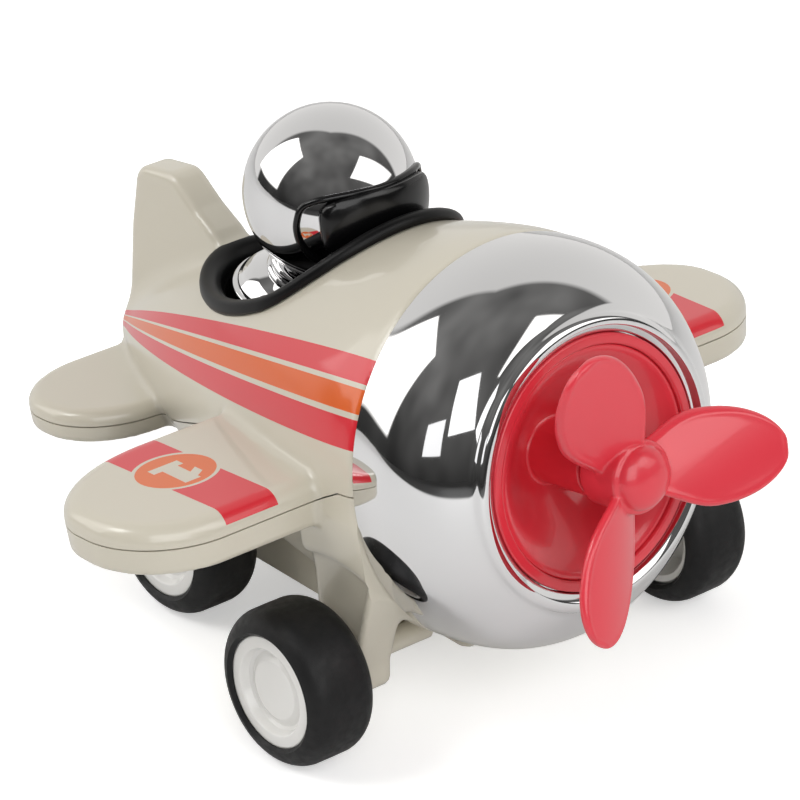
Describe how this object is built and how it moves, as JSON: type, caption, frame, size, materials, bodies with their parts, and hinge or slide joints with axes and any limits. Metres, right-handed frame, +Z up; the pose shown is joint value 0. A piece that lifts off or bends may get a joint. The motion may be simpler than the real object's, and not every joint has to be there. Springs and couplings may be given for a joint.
{
  "type": "toy propeller plane",
  "caption": "Toy propeller plane with stubby wings, mirror cowl, red paddle propeller and helmeted pilot, on rubber-tyred wheels, front axle geared to the propeller.",
  "frame": {"origin": "on the ground under the middle of the model's bounding box", "axes": "+X towards the nose, +Y towards the left wing tip, +Z up; the wheels stand on z = 0"},
  "size_m": [0.1258, 0.1224, 0.0772],
  "materials": {
    "shell_beige": "glossy",
    "chrome": "mirror",
    "dish_red": "glossy",
    "trim_black": "semi-gloss",
    "visor_black": "glossy",
    "propeller_red": "satin gloss",
    "steel": "satin",
    "gear_plastic": "matte",
    "brass": "satin",
    "frame_plastic": "matte",
    "hub_white": "glossy",
    "tyre_rubber": "matte",
    "motor_case": "matte",
    "spring_steel": "satin",
    "screw_steel": "satin"
  },
  "bodies": {
    "airframe": {"upper_shell": "shell_beige", "lower_shell": "shell_beige", "front_belly_cover": "shell_beige", "rear_belly_cover": "shell_beige", "nose_cowl": "chrome", "spinner_dish": "dish_red", "cockpit_rim": "trim_black", "cockpit_floor": "trim_black", "pilot_body": "chrome", "pilot_helmet": "chrome", "pilot_visor": "visor_black", "propeller_bush": "brass", "gear_frame": "frame_plastic", "motor_case_right": "motor_case", "motor_case_left": "motor_case", "mainspring": "spring_steel", "shell_screws": "screw_steel", "cover_screws": "screw_steel", "frame_screws": "screw_steel"},
    "propeller": {"propeller": "propeller_red", "propeller_shaft": "steel", "propeller_pinion": "gear_plastic"},
    "lay_shaft": {"lay_shaft": "steel", "lay_top_crown": "gear_plastic", "lay_bottom_crown": "gear_plastic"},
    "front_wheels": {"front_axle": "steel", "front_pinion": "gear_plastic", "front_wheel_hubs": "hub_white", "front_tyres": "tyre_rubber"},
    "rear_wheels": {"rear_axle": "steel", "rear_axle_gear": "gear_plastic", "rear_wheel_hubs": "hub_white", "rear_tyres": "tyre_rubber"},
    "spring_drum": {"spring_gear": "gear_plastic", "spring_arbor": "steel"}
  },
  "joints": [
    {"name": "front_wheel_spin", "type": "hinge", "parent": "airframe", "child": "front_wheels", "pos_m": [0.0238, 0, 0.0118], "axis": [0, 1, 0], "continuous": true},
    {"name": "lay_shaft_spin", "type": "hinge", "parent": "airframe", "child": "lay_shaft", "pos_m": [0.0238, 0, 0.0118], "axis": [-0.165, 0, 0.9863], "continuous": true},
    {"name": "propeller_spin", "type": "hinge", "parent": "airframe", "child": "propeller", "pos_m": [0.0461, 0, 0.043], "axis": [0.9863, 0, 0.165], "continuous": true},
    {"name": "rear_wheel_spin", "type": "hinge", "parent": "airframe", "child": "rear_wheels", "pos_m": [-0.0204, 0, 0.0118], "axis": [0, 1, 0], "continuous": true},
    {"name": "spring_drum_spin", "type": "hinge", "parent": "airframe", "child": "spring_drum", "pos_m": [-0.0091, 0, 0.01881], "axis": [0, 1, 0], "continuous": true}
  ],
  "couplings": [
    {"joint": "lay_shaft_spin", "follows": "front_wheel_spin", "ratio": 0.5},
    {"joint": "propeller_spin", "follows": "front_wheel_spin", "ratio": -1},
    {"joint": "spring_drum_spin", "follows": "rear_wheel_spin", "ratio": -0.35714}
  ]
}
